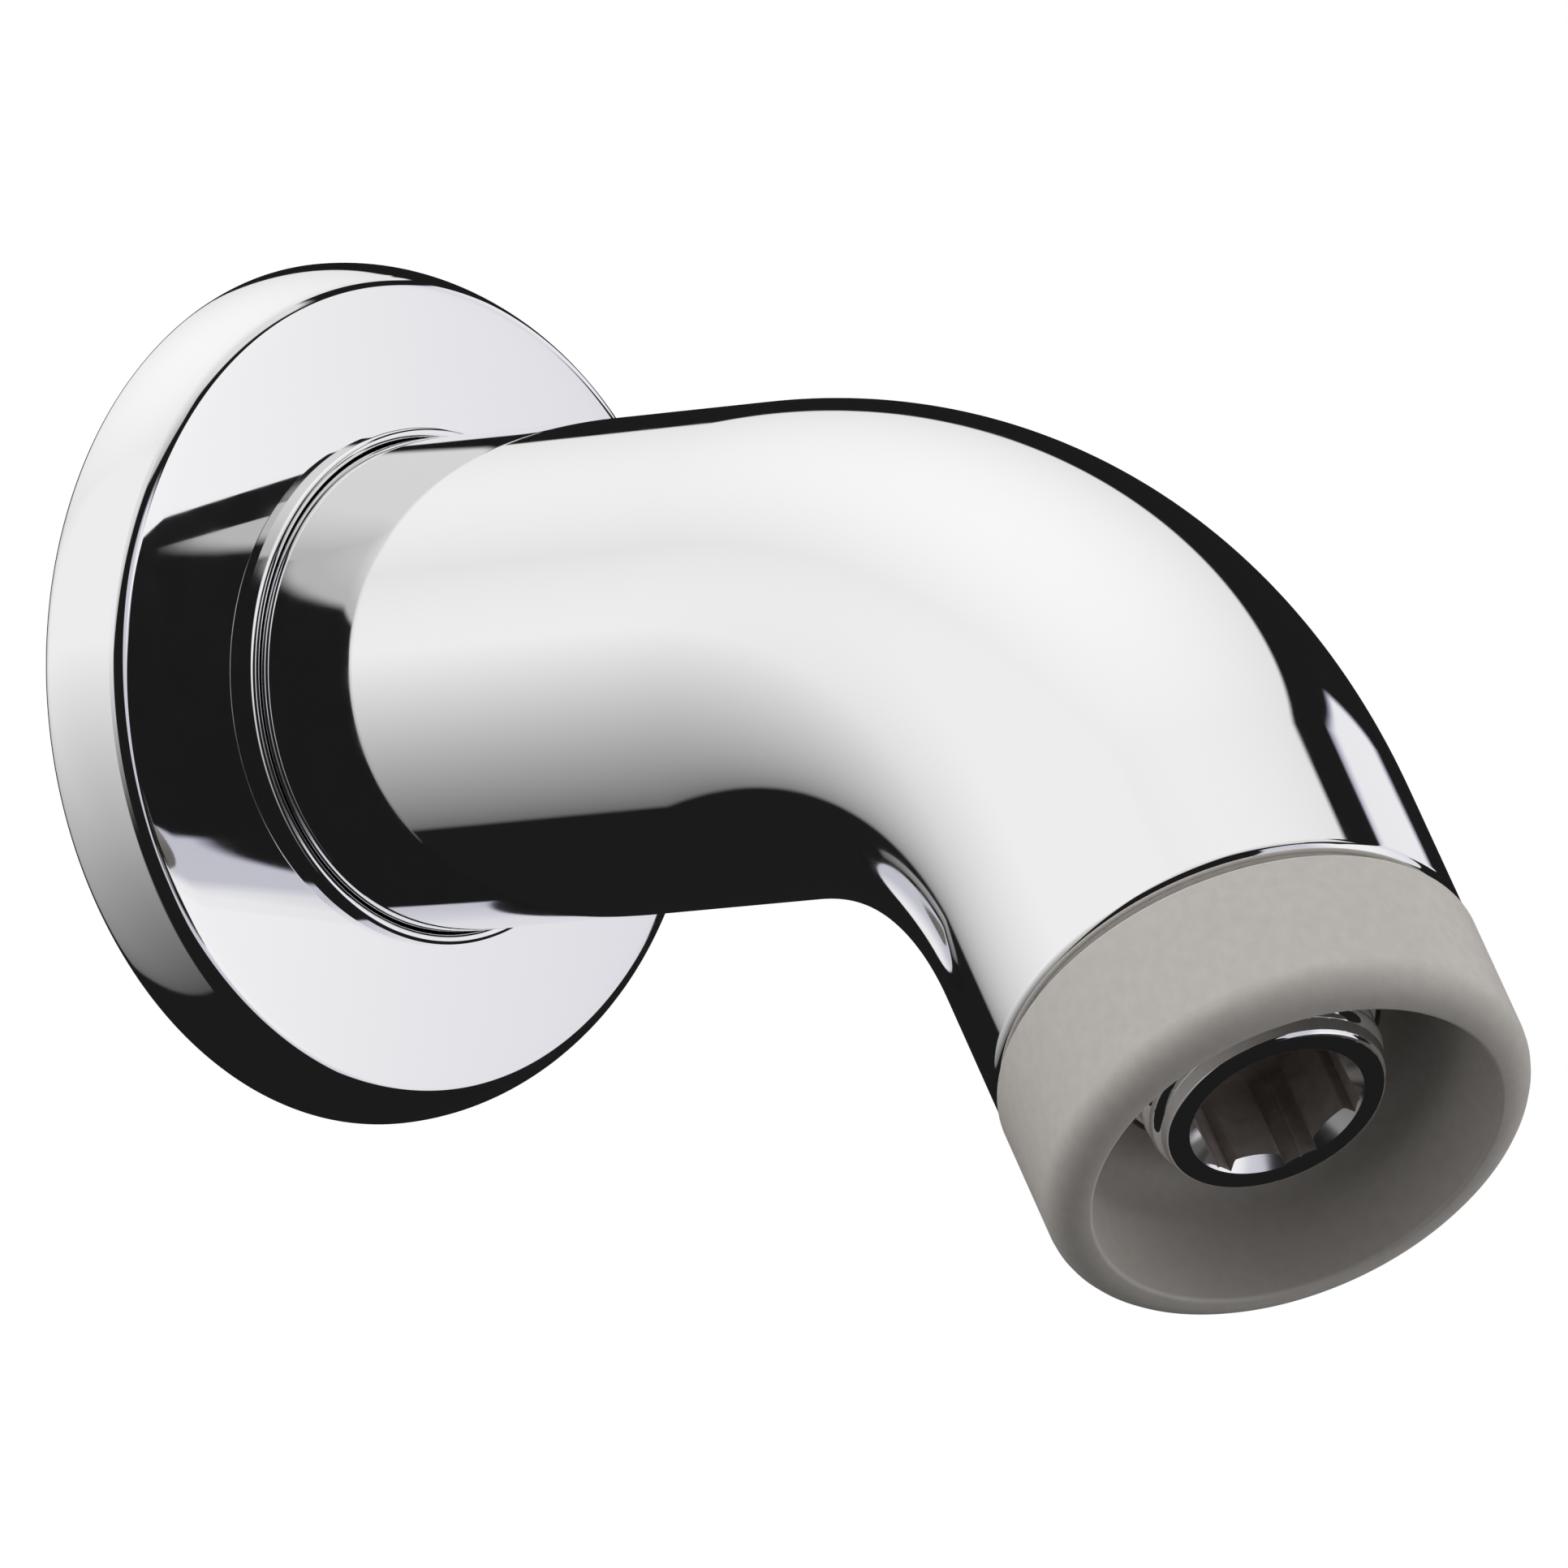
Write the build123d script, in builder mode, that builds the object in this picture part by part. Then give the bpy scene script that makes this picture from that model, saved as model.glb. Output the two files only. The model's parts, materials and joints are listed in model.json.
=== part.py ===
"""Wall shower arm: chromed bent arm, wall flange, grey outlet collar and a screwed-in outlet nipple.

Millimetres. The origin is on the inlet axis in the plane of the finished wall. The arm leaves the wall
along -Y and bends down, +Z is up, and the arm is symmetric about the plane x = 0.
"""

import os
from math import cos, radians, sin, sqrt, tan

from build123d import *

# Arm: a hollow brass casting with a male inlet thread
ARM_OD = 42.0
ARM_WALL = 3.0
ARM_RUN = 53.3  # wall plane to the start of the bend
BEND_RADIUS = 60.7
BEND_ANGLE = 53.25
OUTLET_RUN = 13.8  # end of the bend to the outlet end
REAR_SETBACK = 3.0  # rear end of the arm, inside the flange, to the wall plane
REAR_WALL = 8.0
CAVITY_FILLET = 3.0
REAR_EDGE_FILLET = 0.4
OUTLET_EDGE_FILLET = 0.8

# Parallel half-inch pipe thread, inlet and outlet alike
THREAD_OD = 20.955
THREAD_DEPTH = 1.162
INLET_REACH = 15.0  # thread past the wall plane
INLET_BORE = 14.0

# Wall flange: a hollow cover with a rounded rim, a domed face and a raised lip round the arm
FLANGE_OD = 73.4
FLANGE_RIM_DRAFT = 15.3  # degrees, of the rim's chord
FLANGE_RIM_BULGE = 0.65  # middle of the rim past its chord
FLANGE_RIM_HEIGHT = 7.55
FLANGE_CROWN = 1.2  # rise of the face from the rim to the lip
FLANGE_WALL = 2.2
FLANGE_EDGE_FILLET = 1.5
FLANGE_REAR_FILLET = 0.8
LIP_WIDTH = 0.9
LIP_RISE = 1.7
LIP_FILLET = 0.4
HUB_WALL = 3.6
HUB_SETBACK = 1.5
HOLE_CLEARANCE = 0.1

# Seal rings, as squeezed in place
FLANGE_RING_SECTION = 2.0
NIPPLE_RING_SECTION = 1.5
RING_FIT = 0.02
GROOVE_SIDE_ROOM = 0.3

# Outlet collar: a moulded plastic cup round the outlet thread, with a shadow gap below the arm
COLLAR_STEP = 0.25  # the collar stands this far proud of the arm
COLLAR_GAP = 1.1
COLLAR_NECK_INSET = 2.0  # arm's outer surface to the bottom of the gap
COLLAR_LENGTH = 15.4
COLLAR_FLOOR = 3.0
COLLAR_LIP_WIDTH = 3.4
COLLAR_LIP_FILLET = 2.8
COLLAR_MOUTH_FILLET = 0.4
COLLAR_EDGE_FILLET = 0.25
BOWL_DRAFT = 6.0  # degrees
BOWL_FILLET = 4.0
SPIGOT_INSET = 5.0  # arm's outer surface to the collar's locating spigot
SPIGOT_HEIGHT = 1.4
SPIGOT_CLEARANCE = 0.1

# Outlet nipple: screwed into the arm with a key, its shoulder sunk into the collar's floor
NIPPLE_REACH = 10.4  # end of the arm to the nipple's end face
SHOULDER_WIDTH = 1.2
SHOULDER_HEIGHT = 1.5
SHOULDER_CHAMFER = 0.4
THREAD_ENGAGEMENT = 6.0
THREAD_CLEARANCE = 0.05
SEAL_BORE = 17.8
SEAL_LENGTH = 4.0
TAIL_CLEARANCE = 0.1
WATERWAY = 10.0
HEX_KEY = 13.0  # across flats
HEX_DEPTH = 9.0
HEX_RELIEF_WIDTH = 3.0  # slots that clear the key's corners
HEX_RELIEF_OD = 14.8
COUNTERSINK_OD = 15.3
COUNTERSINK_ANGLE = 100.0

# Sizes that follow from the ones above
arm_r = ARM_OD / 2
cavity_r = arm_r - ARM_WALL
thread_r = THREAD_OD / 2
seal_bore_r = SEAL_BORE / 2
outlet_wall = THREAD_ENGAGEMENT + SEAL_LENGTH
hole_r = arm_r + HOLE_CLEARANCE
collar_r = arm_r + COLLAR_STEP
mouth_r = collar_r - COLLAR_LIP_WIDTH
neck_r = arm_r - COLLAR_NECK_INSET
spigot_r = arm_r - SPIGOT_INSET
shoulder_r = thread_r + SHOULDER_WIDTH
shoulder_seat = COLLAR_FLOOR - SHOULDER_HEIGHT

# Outlet frame: its origin is the centre of the arm's outlet end
bend = radians(BEND_ANGLE)
outlet_dir = Vector(0, -cos(bend), -sin(bend))
bend_end = Vector(0, -ARM_RUN - BEND_RADIUS * sin(bend), BEND_RADIUS * (cos(bend) - 1))
outlet_end = bend_end + outlet_dir * OUTLET_RUN
outlet_plane = Plane(outlet_end, x_dir=(1, 0, 0), z_dir=outlet_dir)
outlet_axis = Axis(outlet_end, outlet_dir)
inlet_axis = Axis((0, 0, 0), (0, -1, 0))

# Half sections of the turned pieces: x is the radius, y the height along the axis
wall_section = Plane((0, 0, 0), x_dir=(1, 0, 0), z_dir=(0, 0, -1))
outlet_section = Plane(outlet_end, x_dir=(1, 0, 0), z_dir=Vector(1, 0, 0).cross(outlet_dir))


def arm_path(start, end_run):
    """Centreline from a distance in front of the wall, round the bend, to a distance past it."""
    with BuildLine(Plane.YZ) as path:
        inlet = Line((-start, 0), (-ARM_RUN, 0))
        turn = JernArc(inlet @ 1, inlet % 1, BEND_RADIUS, BEND_ANGLE)
        Line(turn @ 1, (turn @ 1) + (turn % 1) * end_run)
    return path.wires()[0]


def rings(part, radius):
    """The circular edges of one radius."""
    circles = part.edges().filter_by(GeomType.CIRCLE)
    return circles.filter_by(lambda edge: abs(edge.radius - radius) < 0.001)


# Arm body
rear_cavity = REAR_SETBACK + REAR_WALL
with BuildPart() as arm_body:
    with BuildSketch(Plane.XZ.offset(REAR_SETBACK)):
        Circle(arm_r)
    sweep(path=arm_path(REAR_SETBACK, OUTLET_RUN))
    with BuildSketch(Plane.XZ.offset(rear_cavity)):
        Circle(cavity_r)
    sweep(path=arm_path(rear_cavity, OUTLET_RUN - outlet_wall), mode=Mode.SUBTRACT)
    fillet(rings(arm_body, cavity_r).group_by(Axis.Y)[0], CAVITY_FILLET)
    fillet(rings(arm_body, cavity_r).group_by(Axis.Y)[-1], CAVITY_FILLET)
    fillet(rings(arm_body, arm_r).sort_by(Axis.Y)[0], OUTLET_EDGE_FILLET)
    fillet(rings(arm_body, arm_r).sort_by(Axis.Y)[-1], REAR_EDGE_FILLET)
    # Inlet thread with its bore into the hollow arm
    with BuildSketch(Plane.XZ.offset(REAR_SETBACK)):
        Circle(thread_r)
    extrude(amount=-REAR_SETBACK - INLET_REACH)
    chamfer(rings(arm_body, thread_r).sort_by(Axis.Y)[-1], THREAD_DEPTH)
    with BuildSketch(Plane.XZ.offset(-INLET_REACH)):
        Circle(INLET_BORE / 2)
    extrude(amount=INLET_REACH + rear_cavity, mode=Mode.SUBTRACT)
    # Outlet end: recess for the collar's spigot, threaded hole and seal bore
    with Locations(outlet_plane.location):
        CounterBoreHole(
            radius=thread_r + THREAD_CLEARANCE,
            counter_bore_radius=spigot_r + SPIGOT_CLEARANCE,
            counter_bore_depth=SPIGOT_HEIGHT + SPIGOT_CLEARANCE,
            depth=THREAD_ENGAGEMENT,
        )
        Hole(radius=seal_bore_r, depth=outlet_wall)
arm_body.part.label = "arm_body"

# Wall flange, with a groove in its hub for the ring that grips the arm
rim_draft = radians(FLANGE_RIM_DRAFT)
rim_front_r = FLANGE_OD / 2 - FLANGE_RIM_HEIGHT * tan(rim_draft)
rim_mid = (
    (FLANGE_OD / 2 + rim_front_r) / 2 + FLANGE_RIM_BULGE * cos(rim_draft),
    FLANGE_RIM_HEIGHT / 2 + FLANGE_RIM_BULGE * sin(rim_draft),
)
lip_r = hole_r + LIP_WIDTH
face_height = FLANGE_RIM_HEIGHT + FLANGE_CROWN
lip_height = face_height + LIP_RISE
dome_centre = (
    (rim_front_r**2 + FLANGE_RIM_HEIGHT**2 - lip_r**2 - face_height**2)
    / (2 * (FLANGE_RIM_HEIGHT - face_height))
)
dome_r = sqrt(rim_front_r**2 + (FLANGE_RIM_HEIGHT - dome_centre) ** 2)
face_mid_r = (rim_front_r + lip_r) / 2
face_mid = (face_mid_r, dome_centre + sqrt(dome_r**2 - face_mid_r**2))
cavity_front_r = rim_front_r - FLANGE_WALL
cavity_top = FLANGE_RIM_HEIGHT - FLANGE_WALL
groove_width = FLANGE_RING_SECTION + GROOVE_SIDE_ROOM
groove_r = arm_r + FLANGE_RING_SECTION + 2 * RING_FIT
groove_height = (HUB_SETBACK + lip_height) / 2
with BuildPart() as wall_flange:
    with BuildSketch(wall_section):
        with BuildLine():
            Line((0, 0), (FLANGE_OD / 2, 0))
            ThreePointArc((FLANGE_OD / 2, 0), rim_mid, (rim_front_r, FLANGE_RIM_HEIGHT))
            ThreePointArc((rim_front_r, FLANGE_RIM_HEIGHT), face_mid, (lip_r, face_height))
            Polyline((lip_r, face_height), (lip_r, lip_height), (0, lip_height), (0, 0))
        make_face()
        with BuildLine():
            Polyline(
                (0, 0),
                (FLANGE_OD / 2 - FLANGE_WALL, 0),
                (cavity_front_r, cavity_top),
                (hole_r + HUB_WALL, cavity_top),
                (hole_r + HUB_WALL, HUB_SETBACK),
                (0, HUB_SETBACK),
                close=True,
            )
        make_face(mode=Mode.SUBTRACT)
        with Locations((0, lip_height / 2)):
            Rectangle(2 * hole_r, 2 * lip_height, mode=Mode.SUBTRACT)
        with Locations((0, groove_height)):
            Rectangle(2 * groove_r, groove_width, mode=Mode.SUBTRACT)
    revolve(axis=inlet_axis)
    fillet(rings(wall_flange, rim_front_r), FLANGE_EDGE_FILLET)
    fillet(rings(wall_flange, FLANGE_OD / 2), FLANGE_REAR_FILLET)
    fillet(rings(wall_flange, lip_r).sort_by(Axis.Y)[0], LIP_FILLET)
    fillet(rings(wall_flange, hole_r).sort_by(Axis.Y)[0], LIP_FILLET)
wall_flange.part.label = "wall_flange"

with BuildPart() as flange_ring:
    with BuildSketch(wall_section):
        with Locations((arm_r + RING_FIT + FLANGE_RING_SECTION / 2, groove_height)):
            Circle(FLANGE_RING_SECTION / 2)
    revolve(axis=inlet_axis)
flange_ring.part.label = "flange_ring"

# Outlet collar
bowl_r = mouth_r - (COLLAR_LENGTH - COLLAR_FLOOR) * tan(radians(BOWL_DRAFT))
with BuildPart() as outlet_collar:
    with BuildSketch(outlet_section):
        with BuildLine():
            Polyline(
                (thread_r + SPIGOT_CLEARANCE, -SPIGOT_HEIGHT),
                (spigot_r, -SPIGOT_HEIGHT),
                (spigot_r, 0),
                (neck_r, 0),
                (neck_r, COLLAR_GAP),
                (collar_r, COLLAR_GAP),
                (collar_r, COLLAR_LENGTH),
                (mouth_r, COLLAR_LENGTH),
                (bowl_r, COLLAR_FLOOR),
                (shoulder_r + SPIGOT_CLEARANCE, COLLAR_FLOOR),
                (shoulder_r + SPIGOT_CLEARANCE, shoulder_seat),
                (thread_r + SPIGOT_CLEARANCE, shoulder_seat),
                close=True,
            )
        make_face()
    revolve(axis=outlet_axis)
    along_outlet = rings(outlet_collar, collar_r).sort_by(outlet_axis)
    fillet(along_outlet[0], COLLAR_EDGE_FILLET)
    fillet(along_outlet[-1], COLLAR_LIP_FILLET)
    fillet(rings(outlet_collar, mouth_r), COLLAR_MOUTH_FILLET)
    fillet(rings(outlet_collar, bowl_r), min(BOWL_FILLET, bowl_r - shoulder_r))
outlet_collar.part.label = "outlet_collar"

# Outlet nipple: shower thread, shoulder in the collar's floor, arm thread and sealed tail
tail_r = seal_bore_r - TAIL_CLEARANCE
tail_end = -outlet_wall
seal_height = -THREAD_ENGAGEMENT - SEAL_LENGTH / 2
seal_groove_r = seal_bore_r - NIPPLE_RING_SECTION - 2 * RING_FIT
seal_groove_width = NIPPLE_RING_SECTION + GROOVE_SIDE_ROOM
nipple_end = outlet_plane.offset(NIPPLE_REACH)
with BuildPart() as outlet_nipple:
    with BuildSketch(outlet_section):
        with BuildLine():
            Polyline(
                (0, NIPPLE_REACH),
                (thread_r, NIPPLE_REACH),
                (thread_r, COLLAR_FLOOR),
                (shoulder_r, COLLAR_FLOOR),
                (shoulder_r, shoulder_seat),
                (thread_r, shoulder_seat),
                (thread_r, -THREAD_ENGAGEMENT + THREAD_CLEARANCE),
                (tail_r, -THREAD_ENGAGEMENT + THREAD_CLEARANCE),
                (tail_r, tail_end),
                (0, tail_end),
                close=True,
            )
        make_face()
        with Locations((seal_groove_r + seal_bore_r / 2, seal_height)):
            Rectangle(seal_bore_r, seal_groove_width, mode=Mode.SUBTRACT)
    revolve(axis=outlet_axis)
    chamfer(rings(outlet_nipple, shoulder_r).sort_by(outlet_axis)[-1], SHOULDER_CHAMFER)
    chamfer(rings(outlet_nipple, thread_r).sort_by(outlet_axis)[-1], THREAD_DEPTH)
    # Countersunk waterway, with a relieved hexagon socket that has one corner in the plane of symmetry
    with Locations(nipple_end.location):
        CounterSinkHole(WATERWAY / 2, COUNTERSINK_OD / 2, counter_sink_angle=COUNTERSINK_ANGLE)
    with BuildSketch(nipple_end):
        RegularPolygon(HEX_KEY / 2, 6, major_radius=False, rotation=30)
        with PolarLocations(0, 3, start_angle=30, angular_range=180):
            Rectangle(HEX_RELIEF_OD, HEX_RELIEF_WIDTH)
    extrude(amount=-HEX_DEPTH, mode=Mode.SUBTRACT)
outlet_nipple.part.label = "outlet_nipple"

with BuildPart() as nipple_ring:
    with BuildSketch(outlet_section):
        with Locations((seal_bore_r - RING_FIT - NIPPLE_RING_SECTION / 2, seal_height)):
            Circle(NIPPLE_RING_SECTION / 2)
    revolve(axis=outlet_axis)
nipple_ring.part.label = "nipple_ring"

os.makedirs("parts", exist_ok=True)
for piece in (arm_body, wall_flange, flange_ring, outlet_collar, outlet_nipple, nipple_ring):
    export_step(piece.part, f"parts/{piece.part.label}.step")
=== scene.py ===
import json
from math import acos, cos, pi, radians, sin, sqrt, tan

import bpy
import numpy as np
from mathutils import Matrix, Vector

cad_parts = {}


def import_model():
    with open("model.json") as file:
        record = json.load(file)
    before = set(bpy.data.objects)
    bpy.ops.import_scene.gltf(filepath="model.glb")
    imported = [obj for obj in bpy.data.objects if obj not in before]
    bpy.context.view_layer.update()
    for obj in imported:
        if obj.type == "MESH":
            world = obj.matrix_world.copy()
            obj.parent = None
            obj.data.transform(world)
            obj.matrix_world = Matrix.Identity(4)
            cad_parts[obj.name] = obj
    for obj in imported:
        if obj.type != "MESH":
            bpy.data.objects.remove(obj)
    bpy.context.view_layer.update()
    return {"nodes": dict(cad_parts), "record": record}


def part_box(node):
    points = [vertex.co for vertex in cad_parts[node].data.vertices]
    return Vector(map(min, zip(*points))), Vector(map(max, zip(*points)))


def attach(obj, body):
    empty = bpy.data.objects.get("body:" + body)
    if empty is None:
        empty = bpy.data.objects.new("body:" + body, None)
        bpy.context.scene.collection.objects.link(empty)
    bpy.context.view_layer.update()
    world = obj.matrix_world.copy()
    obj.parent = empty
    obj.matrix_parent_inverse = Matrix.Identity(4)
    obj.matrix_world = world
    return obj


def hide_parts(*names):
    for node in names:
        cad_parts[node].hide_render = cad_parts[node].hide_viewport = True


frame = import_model()

# Sizes in metres. Outlines are (station, radius): a station is a distance along the arm's centreline
# from the wall plane, positive into the room
MM = 0.001

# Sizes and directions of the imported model
mounts = {mount["name"]: mount for mount in frame["record"]["mounts"]}
outlet_dir = Vector(mounts["outlet_thread"]["axis"])
thread_r = mounts["outlet_thread"]["dims"]["r_mm"] * MM
arm_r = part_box("arm_body")[1].x
collar_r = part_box("outlet_collar")[1].x
inlet_end = -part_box("arm_body")[1].y

# Arm
ARM_RUN = 53.3 * MM
BEND_RADIUS = 60.7 * MM
OUTLET_RUN = 13.8 * MM
ARM_WALL = 3.0 * MM
REAR_SETBACK = 3.0 * MM
REAR_WALL = 8.0 * MM
CAVITY_FILLET = 3.0 * MM
REAR_EDGE_FILLET = 0.4 * MM
OUTLET_EDGE_FILLET = 0.8 * MM
INLET_BORE_R = 7.0 * MM
bend_angle = acos(-outlet_dir.y)
outlet_end = ARM_RUN + BEND_RADIUS * bend_angle + OUTLET_RUN
cavity_r = arm_r - ARM_WALL

# Parallel half-inch pipe thread
THREAD_PITCH = 1.814 * MM
THREAD_DEPTH = 1.162 * MM
THREAD_RUNOUT = 1.6 * MM
TIP_CONE = radians(20.0)  # from the axis
TIP_FILLET = 0.3 * MM
thread_root_r = thread_r - THREAD_DEPTH

# Wall flange
FLANGE_R = 36.7 * MM
RIM_DRAFT = radians(15.3)  # of the rim's chord
RIM_BULGE = 0.65 * MM  # middle of the rim past its chord
RIM_HEIGHT = 7.55 * MM
RIM_ARC = (0.12, 0.86)  # shares of the rim's height between its two fillets
FACE_CROWN = 1.2 * MM
FLANGE_WALL = 2.2 * MM
RIM_FILLET = 1.5 * MM
RIM_FILLET_ROOM = 1.5  # the domed face starts this many fillets inside the rim
WALL_EDGE_FILLET = 0.8 * MM
LIP_WIDTH = 0.9 * MM
LIP_RISE = 1.7 * MM
LIP_FILLET = 0.4 * MM
HUB_WALL = 3.6 * MM
HUB_SETBACK = 1.5 * MM
HOLE_CLEARANCE = 0.1 * MM
RING_GROOVE_WIDTH = 2.3 * MM
RING_GROOVE_DEPTH = 1.94 * MM
hole_r = arm_r + HOLE_CLEARANCE
rim_front_r = FLANGE_R - RIM_HEIGHT * tan(RIM_DRAFT)
lip_r = hole_r + LIP_WIDTH
face_height = RIM_HEIGHT + FACE_CROWN
lip_height = face_height + LIP_RISE

# Outlet collar, with stations from the arm's outlet end
COLLAR_LENGTH = 15.4 * MM
COLLAR_GAP = 1.1 * MM
NECK_R = 19.0 * MM
COLLAR_FLOOR = 3.0 * MM
COLLAR_LIP_WIDTH = 3.4 * MM
COLLAR_LIP_FILLET = 2.8 * MM
MOUTH_FILLET = 0.4 * MM
COLLAR_EDGE_FILLET = 0.25 * MM
BOWL_DRAFT = radians(6.0)
BOWL_FILLET = 4.0 * MM
SPIGOT_R = 16.0 * MM
SPIGOT_HEIGHT = 1.4 * MM
SPIGOT_CLEARANCE = 0.1 * MM
mouth_r = collar_r - COLLAR_LIP_WIDTH
bowl_r = mouth_r - (COLLAR_LENGTH - COLLAR_FLOOR) * tan(BOWL_DRAFT)

# Outlet nipple, with stations from the arm's outlet end
NIPPLE_REACH = 10.4 * MM
SHOULDER_R = 11.6775 * MM
SHOULDER_SEAT = 1.5 * MM
SHOULDER_CHAMFER = 0.4 * MM
THREAD_ENGAGEMENT = 6.0 * MM
THREAD_CLEARANCE = 0.05 * MM
SEAL_BORE_R = 8.9 * MM
SEAL_LENGTH = 4.0 * MM
TAIL_R = 8.8 * MM
SEAL_GROOVE_R = 7.36 * MM
SEAL_GROOVE_WIDTH = 1.8 * MM
WATERWAY_R = 5.0 * MM
HEX_KEY = 13.0 * MM
HEX_DEPTH = 9.0 * MM
HEX_RELIEF_WIDTH = 3.0 * MM
HEX_RELIEF_R = 7.4 * MM
COUNTERSINK_R = 7.65 * MM
COUNTERSINK_HALF_ANGLE = radians(50.0)
outlet_wall = THREAD_ENGAGEMENT + SEAL_LENGTH

# Mesh resolution
BEND_STEPS = 72
FILLET_STEPS = 8
DOME_STEPS = 24
RIM_STEPS = 20
ARM_SEGMENTS = 192
FLANGE_SEGMENTS = 288
COLLAR_SEGMENTS = 216
NIPPLE_SEGMENTS = 288
INLET_THREAD_STEPS = 24  # rings per turn of thread
OUTLET_THREAD_STEPS = 40
TIP_STEPS = 12
EDGE_SUPPORT = 0.03 * MM  # keeps a flat face's normals flat beside its fillets
SHARP_ANGLE = radians(35)
LEAST_ANGLE = 1e-6  # stands for zero where an angle divides

# Finishes
CHROME_COLOUR = (0.90, 0.898, 0.905, 1)
POLISHED = (0.02, 0.05)  # least and most roughness
SATIN = (0.14, 0.2)
BRASS_COLOURS = ((0.43, 0.385, 0.36, 1), (0.55, 0.50, 0.47, 1))
PLASTIC_COLOURS = ((0.48, 0.453, 0.425, 1), (0.52, 0.492, 0.46, 1))
RUBBER_COLOURS = ((0.018, 0.018, 0.018, 1), (0.035, 0.035, 0.036, 1))
FLOOR_COLOURS = ((0.84, 0.84, 0.84, 1), (0.87, 0.87, 0.87, 1))
NOISE_RANGE = (0.3, 0.7)  # noise keeps near its middle

# Camera, fitted to the photograph's outlines
CAMERA_AZIMUTH = radians(-43.98)
CAMERA_ELEVATION = radians(-12.285)
CAMERA_ROLL = radians(6.991)
CAMERA_AIM = Vector((-5.24, -59.09, -13.25)) * MM
CAMERA_DISTANCE = 2.8
CAMERA_LENS = 768.8
CAMERA_SENSOR = 36.0

# White panels round the part, in a dark room. A direction's azimuth is in degrees from +Y towards +X and its
# elevation in degrees from level. An edge is where a panel begins and where it is full, and a level is two
# places with the strengths there
ROOM_LEVEL = 0.012
OVERHEAD_AXIS = (-0.198, 0.287, 0.937)
OVERHEAD_EDGE = (0.69, 0.708)  # cosine of the angle from the axis
OVERHEAD_LEVEL = (0.7, 1.0, 0.84, 1.03)

FRONT_CORNER = -138  # azimuth past which the lower edge slants
FRONT_SLANT = 1.3
FRONT_LEFT_EDGE = (-104, -108)
FRONT_LEFT_SILL = (33, 36)
FRONT_RIGHT_EDGE = (146, 152)
FRONT_RIGHT_SILL = (38, 42)
FRONT_LEVEL = (38, 50, 0.56, 0.8)

LEFT_FRONT_EDGE = (-112, -105)
LEFT_WALL_EDGE = (-0.01, -0.05)  # x of the direction
LEFT_FADE = 0.4  # power of the sideways part of the direction
LEFT_LIMIT = 0.87
LEFT_LEVEL = (-1.0, 0.0, 0.3, 1.08)  # by z of the direction

RIGHT_CORNER_AZIMUTH = 80
RIGHT_CORNER_ELEVATION = 44
RIGHT_TOP_SLANT = 0.47
RIGHT_TOP_EDGE = (1, -1)
RIGHT_SIDE_SLANT = 1.39
RIGHT_SIDE_EDGE = (1.5, -1.5)
RIGHT_SILL_STEPS = ((119, 125, 30, -6), (124, 134, 0, -28))  # azimuths, and elevations there
RIGHT_SILL_EDGE = (-0.8, 0.6)
RIGHT_AXIS = (0.798, 0.056, -0.600)
RIGHT_AXIS_EDGE = (-0.01, 0.02)
RIGHT_AHEAD_EDGE = (-0.9, -0.94)  # y of the direction
RIGHT_FAR_SLANT = 0.4
RIGHT_FAR_EDGE = (-0.22, -0.17)
RIGHT_NEAR_LEVEL = (95, 120, 0.12, 0.0)
RIGHT_LEVEL = (120, 150, 0.78, 0.98)
RIGHT_FAR_LEVEL = (0.05, 0.3, -0.4, 0.0)
RIGHT_LOW_LEVEL = (-34, -16, 0.72, 1.0)
RIGHT_LEAST_LEVEL = 0.66
RIGHT_TINT = (0.92, 0.935, 1.12, 1)
RIGHT_TINT_EDGE = (0.0, 0.05)
RIGHT_TINT_LEVEL = (0.4, 0.95, 1.0, 0.05)

# Strengths of the same panels for matt surfaces, and of one more from the right
SOFT_ROOM = 0.02
SOFT_OVERHEAD = 0.7
SOFT_FRONT = 1.7
SOFT_LEFT = 1.22
SOFT_RIGHT = 1.4
SOFT_SIDE = 1.1
SOFT_SIDE_EDGE = (0.5, 0.95)  # x of the direction

FLOOR_LEVEL = -2.0  # a shower arm hangs about two metres above the floor
FLOOR_SIZE = 12.0
FLOOR_ROUGHNESS = 0.9


# Outlines


def straight(start, end):
    """Points after start up to end: one at each step of the bend, and supports beside both ends."""
    length = np.linalg.norm(end - start)
    shares = [EDGE_SUPPORT / length, 1 - EDGE_SUPPORT / length]
    if abs(end[0] - start[0]) > EDGE_SUPPORT:
        bend_stations = np.linspace(ARM_RUN, outlet_end - OUTLET_RUN, BEND_STEPS + 1)
        shares += [(station - start[0]) / (end[0] - start[0]) for station in bend_stations]
    return [start + (end - start) * share for share in sorted(shares) if 0 < share < 1] + [end]


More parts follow.
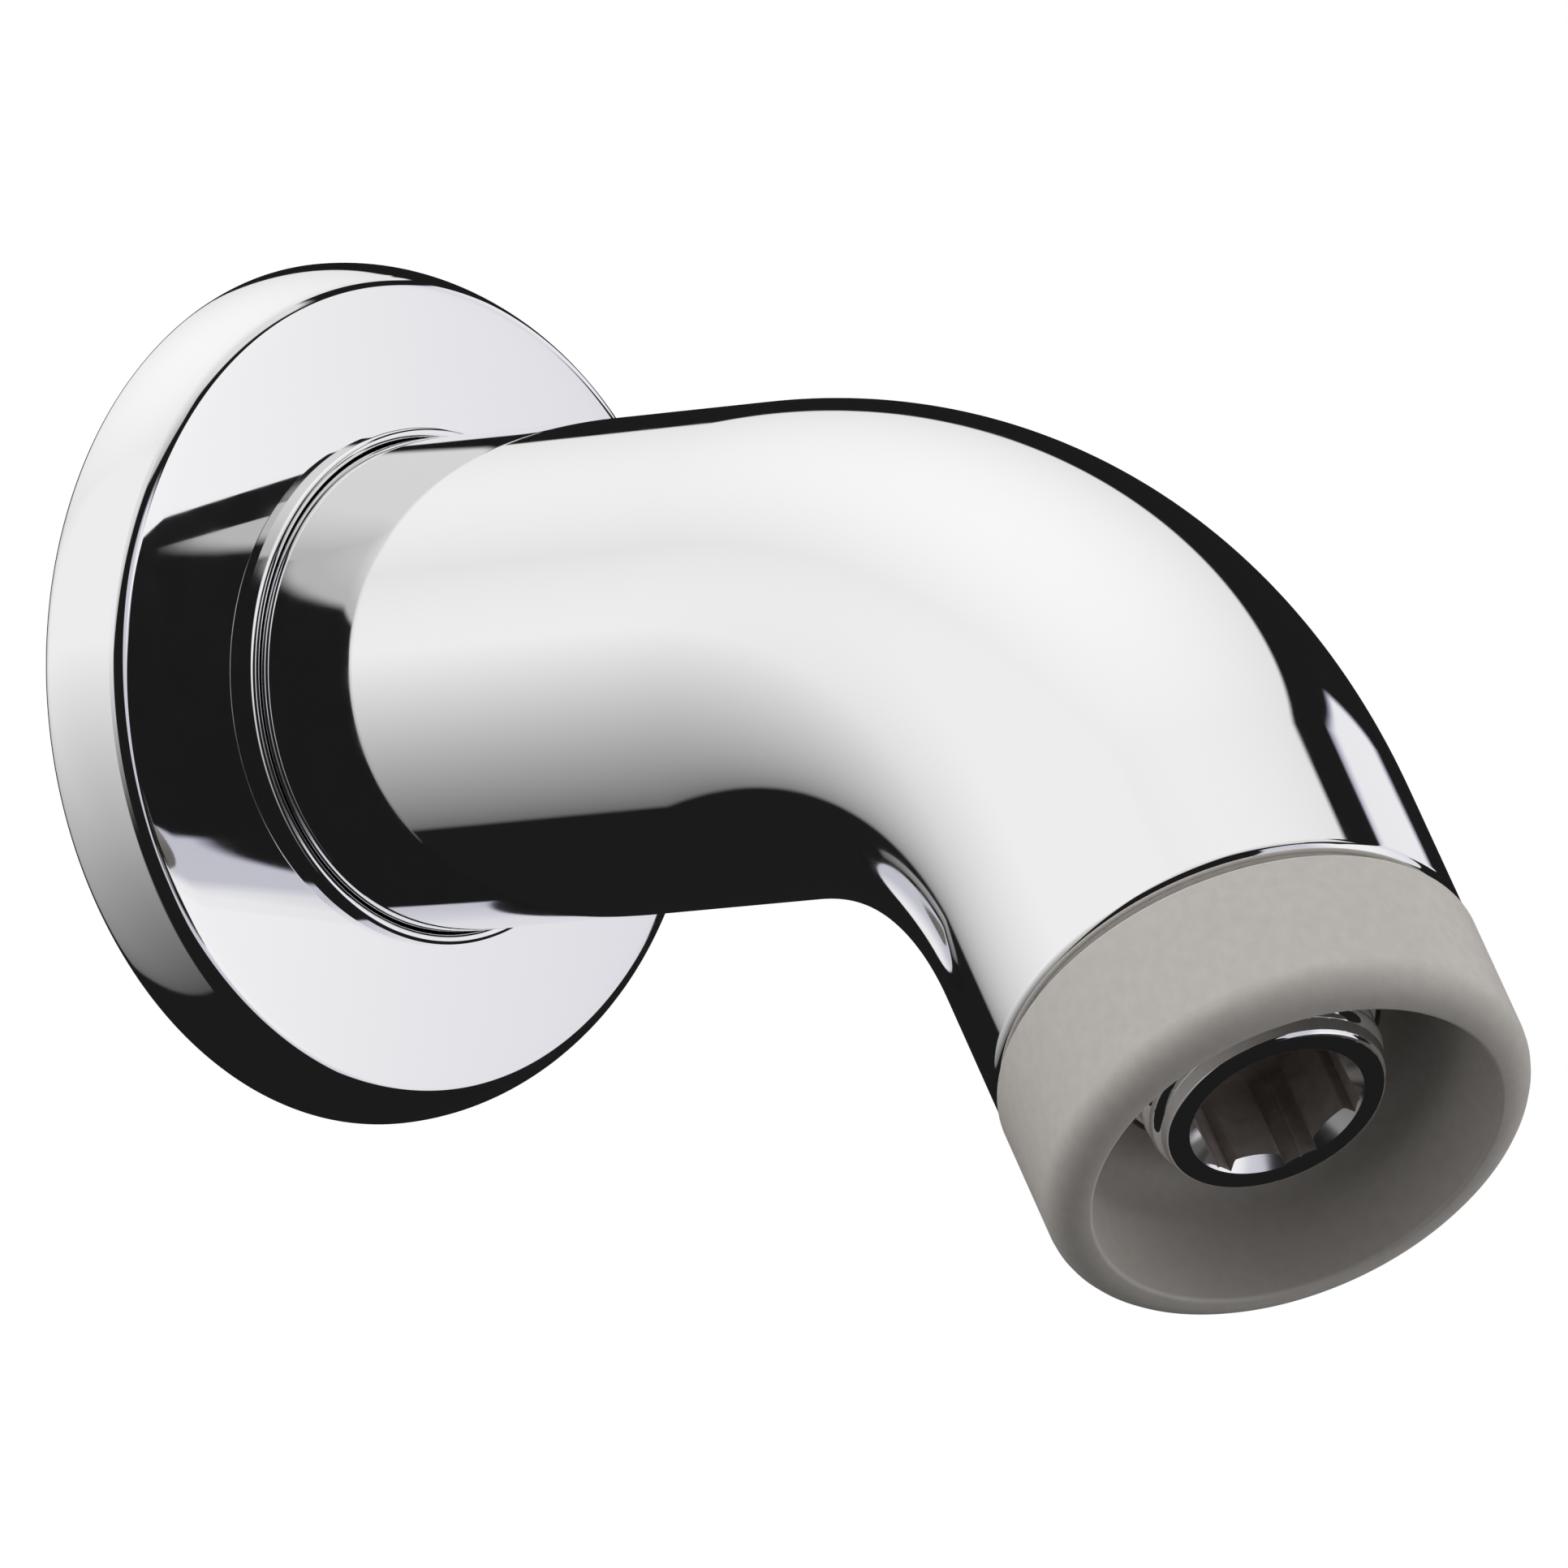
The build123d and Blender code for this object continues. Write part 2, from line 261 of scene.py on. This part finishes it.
def rounded(*corners):
    """An open outline through corners given as (station, radius, fillet).

    A fillet of None marks a point on a curve, which stays as it is.
    """
    points = [np.array(corner[:2]) for corner in corners]
    outline = [points[0]]
    for before, corner, after, (_, _, fillet) in zip(points, points[1:], points[2:], corners[1:]):
        if fillet is None:
            outline.append(corner)
            continue
        if fillet == 0:
            outline += straight(outline[-1], corner)
            continue
        back = (before - corner) / np.linalg.norm(before - corner)
        ahead = (after - corner) / np.linalg.norm(after - corner)
        half = acos(back @ ahead) / 2
        middle = (back + ahead) / np.linalg.norm(back + ahead)
        centre = corner + middle * fillet / np.sin(half)
        first = corner + back * fillet / tan(half) - centre
        last = corner + ahead * fillet / tan(half) - centre
        turn = pi - 2 * half
        outline += straight(outline[-1], centre + first)
        for step in range(1, FILLET_STEPS + 1):
            share = step / FILLET_STEPS
            spoke = first * np.sin((1 - share) * turn) + last * np.sin(share * turn)
            outline.append(centre + spoke / np.sin(turn))
    return outline + straight(outline[-1], points[-1])


def thread(base, tip, angles, steps_per_turn):
    """Rings of a right-hand thread from its run-out at base to a tip with a cone and a rounded edge."""
    toward = np.sign(tip - base)
    length = abs(tip - base)
    edge_depth = TIP_FILLET * (1 - sin(TIP_CONE))
    steps = round((length - edge_depth) / THREAD_PITCH * steps_per_turn)
    tip_outline = []
    for depth in np.linspace(length, edge_depth, steps):
        cone = TIP_FILLET * cos(TIP_CONE) + (depth - edge_depth) * tan(TIP_CONE)
        tip_outline.append((depth, thread_root_r + cone))
    for turn in np.linspace(pi / 2 - TIP_CONE, 0, TIP_STEPS + 1)[1:]:
        tip_outline.append((TIP_FILLET * (1 - cos(turn)), thread_root_r + TIP_FILLET * sin(turn)))
    rings = []
    for depth, limit in tip_outline:
        station = tip - toward * depth
        phase = 2 * pi * station / THREAD_PITCH - angles
        groove = THREAD_DEPTH * min((length - depth) / THREAD_RUNOUT, 1)
        radius = thread_r - groove * (1 - np.cos(phase)) / 2
        rings.append((station, np.minimum(radius, limit)))
    return rings


def ring_angles(segments):
    return np.arange(segments) * 2 * pi / segments


# Pieces


def turned(name, rings, segments):
    """A closed mesh turned about the arm's centreline. The last ring joins the first."""
    angles = ring_angles(segments)
    stations = np.array([np.broadcast_to(station, segments) for station, _ in rings])
    radii = np.array([np.broadcast_to(radius, segments) for _, radius in rings])
    turn = np.clip((stations - ARM_RUN) / BEND_RADIUS, 0, bend_angle)
    inlet = np.minimum(stations, ARM_RUN)
    outlet = np.maximum(stations - ARM_RUN - BEND_RADIUS * bend_angle, 0)
    centre_y = -inlet - BEND_RADIUS * np.sin(turn) - outlet * np.cos(turn)
    centre_z = BEND_RADIUS * (np.cos(turn) - 1) - outlet * np.sin(turn)
    rise = radii * np.sin(angles)
    points = np.stack(
        [radii * np.cos(angles), centre_y - rise * np.sin(turn), centre_z + rise * np.cos(turn)], axis=-1
    )
    index = np.arange(stations.size).reshape(stations.shape)
    right = np.roll(index, -1, axis=1)
    faces = np.stack([index, right, np.roll(right, -1, axis=0), np.roll(index, -1, axis=0)], axis=-1)
    mesh = bpy.data.meshes.new(name)
    mesh.from_pydata(points.reshape(-1, 3).tolist(), [], faces.reshape(-1, 4).tolist())
    mesh.shade_smooth()
    mesh.set_sharp_from_angle(angle=SHARP_ANGLE)
    piece = bpy.data.objects.new(name, mesh)
    bpy.context.scene.collection.objects.link(piece)
    return piece


def arm():
    """The arm with its inlet thread, its cavity and its threaded outlet."""
    rear_inside = REAR_SETBACK + REAR_WALL
    angles = ring_angles(ARM_SEGMENTS)
    hole = thread_r + THREAD_CLEARANCE
    recess = outlet_end - SPIGOT_HEIGHT - SPIGOT_CLEARANCE
    rings = thread(REAR_SETBACK, inlet_end, angles, INLET_THREAD_STEPS)[::-1]
    rings += rounded(
        (REAR_SETBACK, thread_r, 0),
        (REAR_SETBACK, arm_r, REAR_EDGE_FILLET),
        (outlet_end, arm_r, OUTLET_EDGE_FILLET),
        (outlet_end, SPIGOT_R + SPIGOT_CLEARANCE, 0),
        (recess, SPIGOT_R + SPIGOT_CLEARANCE, 0),
        (recess, hole, 0),
        (outlet_end - THREAD_ENGAGEMENT, hole, 0),
        (outlet_end - THREAD_ENGAGEMENT, SEAL_BORE_R, 0),
        (outlet_end - outlet_wall, SEAL_BORE_R, 0),
        (outlet_end - outlet_wall, cavity_r, CAVITY_FILLET),
        (rear_inside, cavity_r, CAVITY_FILLET),
        (rear_inside, INLET_BORE_R, 0),
        (inlet_end, INLET_BORE_R, 0),
    )[1:]
    return turned("chrome_arm", rings, ARM_SEGMENTS)


def flange():
    """The hollow flange with its rounded rim, domed face, lip and hub."""
    rim = []
    for share in np.linspace(*RIM_ARC, RIM_STEPS):
        bulge = 4 * RIM_BULGE * share * (1 - share)
        radius = FLANGE_R + (rim_front_r - FLANGE_R) * share
        rim.append((RIM_HEIGHT * share + bulge * sin(RIM_DRAFT), radius + bulge * cos(RIM_DRAFT), None))
    # The domed face is part of a sphere on the flange's axis
    reach = rim_front_r**2 + RIM_HEIGHT**2 - lip_r**2 - face_height**2
    lift = reach / (2 * (RIM_HEIGHT - face_height))
    dome_r = sqrt(rim_front_r**2 + (RIM_HEIGHT - lift) ** 2)
    face = [
        (lift + sqrt(dome_r**2 - radius**2), radius, None)
        for radius in np.linspace(rim_front_r - RIM_FILLET_ROOM * RIM_FILLET, lip_r, DOME_STEPS)[:-1]
    ]
    cavity_top = RIM_HEIGHT - FLANGE_WALL
    groove = (HUB_SETBACK + lip_height - RING_GROOVE_WIDTH) / 2
    rings = rounded(
        (0, FLANGE_R - FLANGE_WALL, 0),
        (0, FLANGE_R, WALL_EDGE_FILLET),
        *rim,
        (RIM_HEIGHT, rim_front_r, RIM_FILLET),
        *face,
        (face_height, lip_r, 0),
        (lip_height, lip_r, LIP_FILLET),
        (lip_height, hole_r, LIP_FILLET),
        (groove + RING_GROOVE_WIDTH, hole_r, 0),
        (groove + RING_GROOVE_WIDTH, hole_r + RING_GROOVE_DEPTH, 0),
        (groove, hole_r + RING_GROOVE_DEPTH, 0),
        (groove, hole_r, 0),
        (HUB_SETBACK, hole_r, 0),
        (HUB_SETBACK, hole_r + HUB_WALL, 0),
        (cavity_top, hole_r + HUB_WALL, 0),
        (cavity_top, rim_front_r - FLANGE_WALL, 0),
    )
    return turned("chrome_flange", rings, FLANGE_SEGMENTS)


def collar():
    """The cup with its neck, its spigot and the seat of the nipple's shoulder."""
    bowl_floor = outlet_end + COLLAR_FLOOR
    lip = outlet_end + COLLAR_LENGTH
    opening = thread_r + SPIGOT_CLEARANCE
    rings = rounded(
        (outlet_end - SPIGOT_HEIGHT, SPIGOT_R, 0),
        (outlet_end, SPIGOT_R, 0),
        (outlet_end, NECK_R, 0),
        (outlet_end + COLLAR_GAP, NECK_R, 0),
        (outlet_end + COLLAR_GAP, collar_r, COLLAR_EDGE_FILLET),
        (lip, collar_r, COLLAR_LIP_FILLET),
        (lip, mouth_r, MOUTH_FILLET),
        (bowl_floor, bowl_r, BOWL_FILLET),
        (bowl_floor, SHOULDER_R + SPIGOT_CLEARANCE, 0),
        (outlet_end + SHOULDER_SEAT, SHOULDER_R + SPIGOT_CLEARANCE, 0),
        (outlet_end + SHOULDER_SEAT, opening, 0),
        (outlet_end - SPIGOT_HEIGHT, opening, 0),
    )
    return turned("grey_collar", rings, COLLAR_SEGMENTS)


def nipple():
    """The nipple with its tail, seal groove, shoulder, outlet thread, key socket and waterway."""
    end = outlet_end + NIPPLE_REACH
    seat = outlet_end + SHOULDER_SEAT
    shoulder_top = outlet_end + COLLAR_FLOOR
    engaged = outlet_end - THREAD_ENGAGEMENT + THREAD_CLEARANCE
    tail = outlet_end - outlet_wall
    groove = outlet_end - THREAD_ENGAGEMENT - (SEAL_LENGTH + SEAL_GROOVE_WIDTH) / 2
    angles = ring_angles(NIPPLE_SEGMENTS)
    # The socket is a hexagon with slots at its corners, two of them in the arm's plane of symmetry
    from_flat = (angles + pi / 6) % (pi / 3) - pi / 6
    from_corner = np.maximum(pi / 6 - abs(from_flat), LEAST_ANGLE)
    slot = np.minimum(HEX_RELIEF_R / np.cos(from_corner), HEX_RELIEF_WIDTH / 2 / np.sin(from_corner))
    socket = np.maximum(HEX_KEY / 2 / np.cos(from_flat), slot)
    crease = end - (COUNTERSINK_R - socket) / tan(COUNTERSINK_HALF_ANGLE)
    rings = rounded(
        (tail, TAIL_R, 0),
        (groove, TAIL_R, 0),
        (groove, SEAL_GROOVE_R, 0),
        (groove + SEAL_GROOVE_WIDTH, SEAL_GROOVE_R, 0),
        (groove + SEAL_GROOVE_WIDTH, TAIL_R, 0),
        (engaged, TAIL_R, 0),
        (engaged, thread_r, 0),
        (seat, thread_r, 0),
        (seat, SHOULDER_R, 0),
        (shoulder_top - SHOULDER_CHAMFER, SHOULDER_R, 0),
        (shoulder_top, SHOULDER_R - SHOULDER_CHAMFER, 0),
        (shoulder_top, thread_r, 0),
    )
    rings += thread(shoulder_top, end, angles, OUTLET_THREAD_STEPS)[1:]
    countersink = len(rings)
    rings += [
        (end, COUNTERSINK_R),
        (crease, socket),
        (end - HEX_DEPTH, socket),
        (end - HEX_DEPTH, WATERWAY_R),
        (tail, WATERWAY_R),
    ]
    piece = turned("chrome_nipple", rings, NIPPLE_SEGMENTS)
    # The countersink has the second material, and the socket and the waterway have the third
    finish = np.zeros((len(rings), NIPPLE_SEGMENTS), dtype=int)
    finish[countersink] = 1
    finish[countersink + 1 : -1] = 2
    piece.data.polygons.foreach_set("material_index", finish.ravel())
    return piece


# Materials and light are node trees


def add(tree, kind, inputs, **settings):
    """A node with its settings, and with inputs that are values or other nodes' sockets."""
    node = tree.nodes.new(kind)
    for name, value in settings.items():
        setattr(node, name, value)
    for name, value in inputs.items():
        if isinstance(value, bpy.types.NodeSocket):
            tree.links.new(value, node.inputs[name])
        else:
            node.inputs[name].default_value = value
    return node


def edge(tree, value, start, end):
    """0 up to start and 1 from end, with a soft step between."""
    inputs = {"Value": value, "From Min": start, "From Max": end}
    return add(tree, "ShaderNodeMapRange", inputs, interpolation_type="SMOOTHSTEP").outputs["Result"]


def ramp(tree, value, start, end, low, high):
    """low up to start and high from end, with a straight slope between."""
    inputs = {"Value": value, "From Min": start, "From Max": end, "To Min": low, "To Max": high}
    return add(tree, "ShaderNodeMapRange", inputs).outputs["Result"]


def between(tree, share, first, second):
    """A colour from first to second."""
    inputs = {"Factor": share, "A": first, "B": second}
    return add(tree, "ShaderNodeMix", inputs, data_type="RGBA").outputs["Result"]


def combined(tree, operation, first, *others):
    for other in others:
        first = add(tree, "ShaderNodeMath", {0: first, 1: other}, operation=operation).outputs[0]
    return first


def facing(tree, direction, axis):
    """Cosine of the angle between a direction and an axis."""
    product = add(tree, "ShaderNodeVectorMath", {0: direction, 1: axis}, operation="DOT_PRODUCT")
    return product.outputs["Value"]


def degrees(tree, operation, *values):
    angle = add(tree, "ShaderNodeMath", dict(enumerate(values)), operation=operation).outputs[0]
    return add(tree, "ShaderNodeMath", {0: angle}, operation="DEGREES").outputs[0]


def noise(tree, scale, detail):
    place = add(tree, "ShaderNodeTexCoord", {}).outputs["Object"]
    texture = add(tree, "ShaderNodeTexNoise", {"Vector": place, "Scale": scale, "Detail": detail})
    return texture.outputs["Fac"]


def surface(name):
    """A new material, its tree and its principled shader."""
    material = bpy.data.materials.new(name)
    material.use_nodes = True
    return material, material.node_tree, material.node_tree.nodes["Principled BSDF"]


def mottled(tree, shader, colours, grain):
    """Colour that wanders between two colours. A grain is a noise's scale and detail."""
    share = ramp(tree, noise(tree, *grain), *NOISE_RANGE, 0, 1)
    tree.links.new(between(tree, share, *colours), shader.inputs["Base Color"])


def worked(tree, shader, roughness, polish, relief, depth):
    """An uneven polish and a shallow relief. Both are grains: a noise's scale and detail."""
    rough = ramp(tree, noise(tree, *polish), *NOISE_RANGE, *roughness)
    tree.links.new(rough, shader.inputs["Roughness"])
    inputs = {"Height": noise(tree, *relief), "Distance": depth, "Strength": 1.0}
    tree.links.new(add(tree, "ShaderNodeBump", inputs).outputs["Normal"], shader.inputs["Normal"])


def chrome(name, roughness):
    """Chrome plate, with the faint waviness of a casting."""
    material, tree, shader = surface(name)
    shader.inputs["Base Color"].default_value = CHROME_COLOUR
    shader.inputs["Metallic"].default_value = 1
    worked(tree, shader, roughness, polish=(300, 4), relief=(90, 1), depth=0.006 * MM)
    return material


def bare_metal():
    """Dull machined brass, stained by water."""
    material, tree, shader = surface("bare_metal")
    mottled(tree, shader, BRASS_COLOURS, grain=(700, 5))
    shader.inputs["Metallic"].default_value = 0.5
    worked(tree, shader, (0.4, 0.6), polish=(2000, 3), relief=(3000, 2), depth=0.01 * MM)
    return material


def grey_plastic():
    """Moulded plastic with a fine satin grain."""
    material, tree, shader = surface("grey_plastic")
    mottled(tree, shader, PLASTIC_COLOURS, grain=(900, 6))
    worked(tree, shader, (0.42, 0.56), polish=(2500, 3), relief=(6000, 2), depth=0.015 * MM)
    return material


def black_rubber():
    """Matt rubber."""
    material, tree, shader = surface("black_rubber")
    mottled(tree, shader, RUBBER_COLOURS, grain=(1500, 4))
    worked(tree, shader, (0.5, 0.7), polish=(4000, 2), relief=(5000, 2), depth=0.01 * MM)
    return material


def overhead_panel(tree, direction):
    """A round panel above, brightest in its middle."""
    above = facing(tree, direction, OVERHEAD_AXIS)
    return combined(tree, "MULTIPLY", edge(tree, above, *OVERHEAD_EDGE), ramp(tree, above, *OVERHEAD_LEVEL))


def front_panel(tree, azimuth, elevation):
    """A high panel in front, which slants down to the left one."""
    past_corner = combined(tree, "MAXIMUM", combined(tree, "SUBTRACT", azimuth, FRONT_CORNER), 0)
    above_slant = combined(tree, "ADD", elevation, combined(tree, "MULTIPLY", past_corner, FRONT_SLANT))
    left_half = combined(
        tree, "MULTIPLY", edge(tree, azimuth, *FRONT_LEFT_EDGE), edge(tree, above_slant, *FRONT_LEFT_SILL)
    )
    right_half = combined(
        tree, "MULTIPLY", edge(tree, azimuth, *FRONT_RIGHT_EDGE), edge(tree, elevation, *FRONT_RIGHT_SILL)
    )
    lit = combined(tree, "ADD", left_half, right_half)
    return combined(tree, "MULTIPLY", lit, ramp(tree, above_slant, *FRONT_LEVEL))


def left_panel(tree, azimuth, axes):
    """A wide panel at the left, which fades towards the wall and towards the floor."""
    sideways = combined(tree, "MAXIMUM", combined(tree, "MULTIPLY", axes["X"], -1.0), 0.0)
    return combined(
        tree,
        "MULTIPLY",
        edge(tree, azimuth, *LEFT_FRONT_EDGE),
        edge(tree, axes["X"], *LEFT_WALL_EDGE),
        combined(tree, "MINIMUM", combined(tree, "POWER", sideways, LEFT_FADE), LEFT_LIMIT),
        ramp(tree, axes["Z"], *LEFT_LEVEL),
    )


def right_panel(tree, direction, azimuth, elevation, axes):
    """A panel at the right that slants at its top and sides. Its lower edge goes down in two steps."""
    from_corner = combined(tree, "SUBTRACT", azimuth, RIGHT_CORNER_AZIMUTH)
    top, side = (
        combined(
            tree,
            "SUBTRACT",
            elevation,
            combined(tree, "MULTIPLY", from_corner, slant),
            RIGHT_CORNER_ELEVATION,
        )
        for slant in (RIGHT_TOP_SLANT, RIGHT_SIDE_SLANT)
    )
    sill = combined(
        tree, "SUBTRACT", elevation, *(ramp(tree, azimuth, *step) for step in RIGHT_SILL_STEPS)
    )
    beside = combined(
        tree,
        "MULTIPLY",
        edge(tree, sill, *RIGHT_SILL_EDGE),
        edge(tree, top, *RIGHT_TOP_EDGE),
        edge(tree, side, *RIGHT_SIDE_EDGE),
        edge(tree, facing(tree, direction, RIGHT_AXIS), *RIGHT_AXIS_EDGE),
    )
    lit = combined(tree, "MAXIMUM", beside, edge(tree, axes["Y"], *RIGHT_AHEAD_EDGE))
    far = combined(tree, "ADD", axes["X"], combined(tree, "MULTIPLY", axes["Z"], RIGHT_FAR_SLANT))
    lit = combined(tree, "MULTIPLY", lit, edge(tree, far, *RIGHT_FAR_EDGE))
    level = combined(
        tree,
        "ADD",
        ramp(tree, azimuth, *RIGHT_NEAR_LEVEL),
        ramp(tree, azimuth, *RIGHT_LEVEL),
        ramp(tree, far, *RIGHT_FAR_LEVEL),
    )
    level = combined(tree, "MULTIPLY", level, ramp(tree, elevation, *RIGHT_LOW_LEVEL))
    return combined(tree, "MULTIPLY", lit, combined(tree, "MAXIMUM", level, RIGHT_LEAST_LEVEL))


def world():
    """White for the camera. For the rest, a dark room with panels overhead, in front, left and right."""
    made = bpy.data.worlds.new("studio")
    bpy.context.scene.world = made
    made.use_nodes = True
    tree = made.node_tree
    direction = add(tree, "ShaderNodeTexCoord", {}).outputs["Generated"]
    axes = add(tree, "ShaderNodeSeparateXYZ", {"Vector": direction}).outputs
    azimuth = degrees(tree, "ARCTAN2", axes["X"], axes["Y"])
    elevation = degrees(tree, "ARCSINE", axes["Z"])

    overhead = overhead_panel(tree, direction)
    front = front_panel(tree, azimuth, elevation)
    left = left_panel(tree, azimuth, axes)
    right = right_panel(tree, direction, azimuth, elevation, axes)
    panels = combined(tree, "MAXIMUM", ROOM_LEVEL, overhead, front, left, right)
    soft = combined(
        tree,
        "ADD",
        SOFT_ROOM,
        combined(tree, "MULTIPLY", overhead, SOFT_OVERHEAD),
        combined(tree, "MULTIPLY", front, SOFT_FRONT),
        combined(tree, "MULTIPLY", left, SOFT_LEFT),
        combined(tree, "MULTIPLY", right, SOFT_RIGHT),
        combined(tree, "MULTIPLY", edge(tree, axes["X"], *SOFT_SIDE_EDGE), SOFT_SIDE),
    )
    path = add(tree, "ShaderNodeLightPath", {}).outputs
    mirrored = path["Is Glossy Ray"]
    light = add(tree, "ShaderNodeMix", {"Factor": mirrored, "A": soft, "B": panels}).outputs["Result"]
    light = add(tree, "ShaderNodeMix", {"Factor": path["Is Camera Ray"], "A": light, "B": 1.0})
    # The right panel's dim parts are slightly lavender
    tint = combined(
        tree,
        "MULTIPLY",
        edge(tree, right, *RIGHT_TINT_EDGE),
        ramp(tree, right, *RIGHT_TINT_LEVEL),
        mirrored,
    )
    background = tree.nodes["Background"]
    tree.links.new(between(tree, tint, (1, 1, 1, 1), RIGHT_TINT), background.inputs["Color"])
    tree.links.new(light.outputs["Result"], background.inputs["Strength"])


def floor():
    """A pale floor, which the part neither mirrors nor takes light from."""
    half = FLOOR_SIZE / 2
    mesh = bpy.data.meshes.new("floor")
    corners = [(-half, -half), (half, -half), (half, half), (-half, half)]
    mesh.from_pydata([(x, y, FLOOR_LEVEL) for x, y in corners], [], [(0, 1, 2, 3)])
    plane = bpy.data.objects.new("floor", mesh)
    bpy.context.scene.collection.objects.link(plane)
    material, tree, shader = surface("pale_floor")
    mottled(tree, shader, FLOOR_COLOURS, grain=(3, 3))
    shader.inputs["Roughness"].default_value = FLOOR_ROUGHNESS
    mesh.materials.append(material)
    plane.visible_glossy = False
    plane.visible_diffuse = False


def camera():
    data = bpy.data.cameras.new("camera")
    data.sensor_width = CAMERA_SENSOR
    data.lens = CAMERA_LENS
    view = bpy.data.objects.new("camera", data)
    bpy.context.scene.collection.objects.link(view)
    turn = (
        Matrix.Rotation(CAMERA_AZIMUTH, 4, "Z")
        @ Matrix.Rotation(pi / 2 - CAMERA_ELEVATION, 4, "X")
        @ Matrix.Rotation(CAMERA_ROLL, 4, "Z")
    )
    back = turn.to_3x3() @ Vector((0, 0, 1))
    view.matrix_world = Matrix.Translation(CAMERA_AIM + back * CAMERA_DISTANCE) @ turn
    bpy.context.scene.camera = view


def dress(piece, node, material):
    """The piece takes the given material, joins the root body and stands for its node, which is hidden."""
    piece.data.materials.append(material)
    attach(piece, "root")
    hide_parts(node)


bpy.context.scene.view_settings.view_transform = "Standard"
camera()
world()
floor()

chromed = chrome("polished_chrome", POLISHED)
dress(arm(), "arm_body", chromed)
dress(flange(), "wall_flange", chromed)
screwed = nipple()
dress(screwed, "outlet_nipple", chromed)
screwed.data.materials.append(chrome("satin_chrome", SATIN))
screwed.data.materials.append(bare_metal())
dress(collar(), "outlet_collar", grey_plastic())

rubber = black_rubber()
for ring in ("flange_ring", "nipple_ring"):
    frame["nodes"][ring].data.materials.clear()
    frame["nodes"][ring].data.materials.append(rubber)
